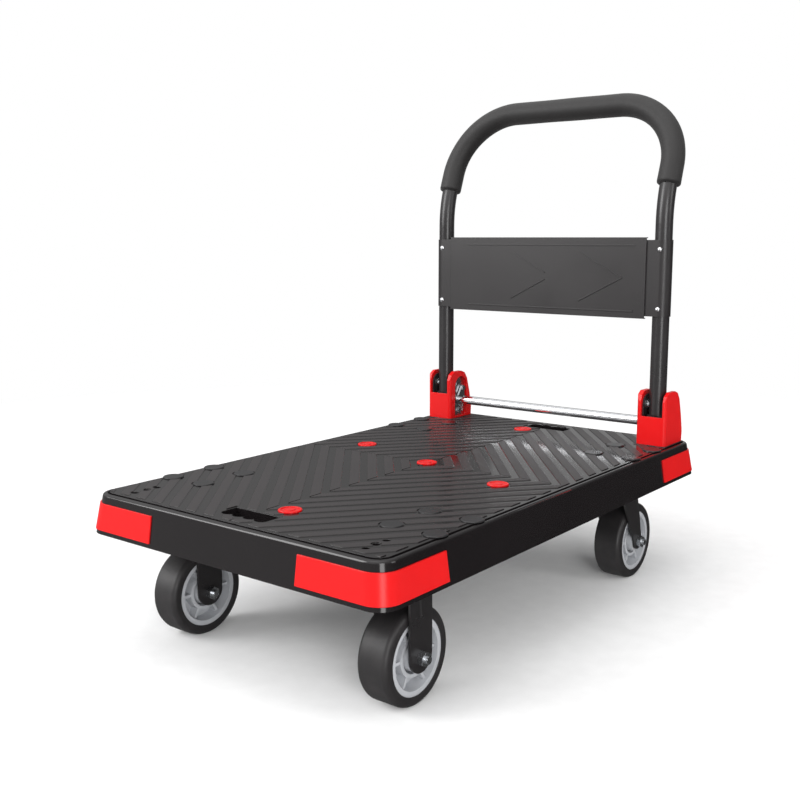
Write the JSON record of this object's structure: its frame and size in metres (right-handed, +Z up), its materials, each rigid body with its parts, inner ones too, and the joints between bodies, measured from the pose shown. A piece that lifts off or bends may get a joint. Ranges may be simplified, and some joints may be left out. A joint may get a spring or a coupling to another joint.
{
  "type": "folding platform cart",
  "caption": "Folding platform cart with a moulded deck, a fold-down push handle, a foot release bar, rigid front castors and swivel rear castors.",
  "frame": {"origin": "on the floor under the middle of the deck", "axes": "+X across the cart to the right of someone who stands at the front end and faces the handle; +Y along the cart towards the handle; +Z up"},
  "size_m": [0.5236, 0.8624, 0.8047],
  "materials": {
    "black_moulded_plastic": "moulded, satin",
    "red_moulded_plastic": "moulded, glossy",
    "black_painted_steel": "powder coated, satin",
    "grey_painted_sheet": "powder coated, matte",
    "foam_grip": "foam rubber, matte",
    "chrome": "chrome plated",
    "zinc_steel": "zinc plated",
    "tyre_rubber": "moulded rubber",
    "grey_hub_plastic": "moulded"
  },
  "bodies": {
    "deck": {"axle_front_left": "zinc_steel", "axle_front_right": "zinc_steel", "bracket_bolts": "zinc_steel", "bracket_nuts": "zinc_steel", "castor_bolt_caps": "black_moulded_plastic", "castor_bolts": "zinc_steel", "castor_nuts": "zinc_steel", "corner_bumper_front_left": "red_moulded_plastic", "corner_bumper_front_right": "red_moulded_plastic", "corner_bumper_rear_left": "red_moulded_plastic", "corner_bumper_rear_right": "red_moulded_plastic", "deck_shell": "black_moulded_plastic", "hinge_bracket_left": "black_painted_steel", "hinge_bracket_right": "black_painted_steel", "hinge_cover_left": "red_moulded_plastic", "hinge_cover_right": "red_moulded_plastic", "kingpin_left": "zinc_steel", "kingpin_right": "zinc_steel", "latch_pins": "zinc_steel", "latch_plate_left": "zinc_steel", "latch_plate_right": "zinc_steel", "latch_screws": "zinc_steel", "latch_spring_left": "zinc_steel", "latch_spring_right": "zinc_steel", "pivot_bolt_left": "zinc_steel", "pivot_bolt_right": "zinc_steel", "red_grip_studs": "red_moulded_plastic", "rigid_fork_left": "black_painted_steel", "rigid_fork_right": "black_painted_steel", "swivel_plate_left": "black_painted_steel", "swivel_plate_right": "black_painted_steel"},
    "handle": {"handle_grip": "foam_grip", "handle_panel": "grey_painted_sheet", "handle_tube": "black_painted_steel", "lock_foot_left": "zinc_steel", "lock_foot_right": "zinc_steel", "panel_rivets": "zinc_steel", "pivot_bush_left": "zinc_steel", "pivot_bush_right": "zinc_steel"},
    "release": {"latch_lever_left": "zinc_steel", "latch_lever_right": "zinc_steel", "release_bar": "chrome"},
    "swivel_left": {"swivel_fork_left": "black_painted_steel", "swivel_balls_left": "zinc_steel", "axle_rear_left": "zinc_steel"},
    "wheel_front_left": {"tyre_front_left": "tyre_rubber", "hub_front_left": "grey_hub_plastic", "bearings_front_left": "zinc_steel"},
    "wheel_rear_left": {"tyre_rear_left": "tyre_rubber", "hub_rear_left": "grey_hub_plastic", "bearings_rear_left": "zinc_steel"},
    "swivel_right": {"swivel_fork_right": "black_painted_steel", "swivel_balls_right": "zinc_steel", "axle_rear_right": "zinc_steel"},
    "wheel_front_right": {"tyre_front_right": "tyre_rubber", "hub_front_right": "grey_hub_plastic", "bearings_front_right": "zinc_steel"},
    "wheel_rear_right": {"tyre_rear_right": "tyre_rubber", "hub_rear_right": "grey_hub_plastic", "bearings_rear_right": "zinc_steel"}
  },
  "joints": [
    {"name": "handle_fold", "type": "hinge", "parent": "deck", "child": "handle", "pos_m": [0, 0.354, 0.285], "axis": [1, 0, 0], "range_deg": [0, 90]},
    {"name": "release_press", "type": "hinge", "parent": "deck", "child": "release", "pos_m": [0, 0.3755, 0.274], "axis": [1, 0, 0], "range_deg": [0, 12], "stiffness_Nm_per_rad": 2, "springref_deg": -14.32, "deforming": ["latch_spring_left", "latch_spring_right"]},
    {"name": "swivel_turn_left", "type": "hinge", "parent": "deck", "child": "swivel_left", "pos_m": [-0.1875, 0.26025, 0.16], "axis": [0, 0, 1], "continuous": true},
    {"name": "wheel_spin_front_left", "type": "hinge", "parent": "deck", "child": "wheel_front_left", "pos_m": [-0.1875, -0.30025, 0.0625], "axis": [1, 0, 0], "continuous": true},
    {"name": "wheel_spin_rear_left", "type": "hinge", "parent": "swivel_left", "child": "wheel_rear_left", "pos_m": [-0.1875, 0.30025, 0.0625], "axis": [1, 0, 0], "continuous": true},
    {"name": "swivel_turn_right", "type": "hinge", "parent": "deck", "child": "swivel_right", "pos_m": [0.1875, 0.26025, 0.16], "axis": [0, 0, 1], "continuous": true},
    {"name": "wheel_spin_front_right", "type": "hinge", "parent": "deck", "child": "wheel_front_right", "pos_m": [0.1875, -0.30025, 0.0625], "axis": [1, 0, 0], "continuous": true},
    {"name": "wheel_spin_rear_right", "type": "hinge", "parent": "swivel_right", "child": "wheel_rear_right", "pos_m": [0.1875, 0.30025, 0.0625], "axis": [1, 0, 0], "continuous": true}
  ]
}
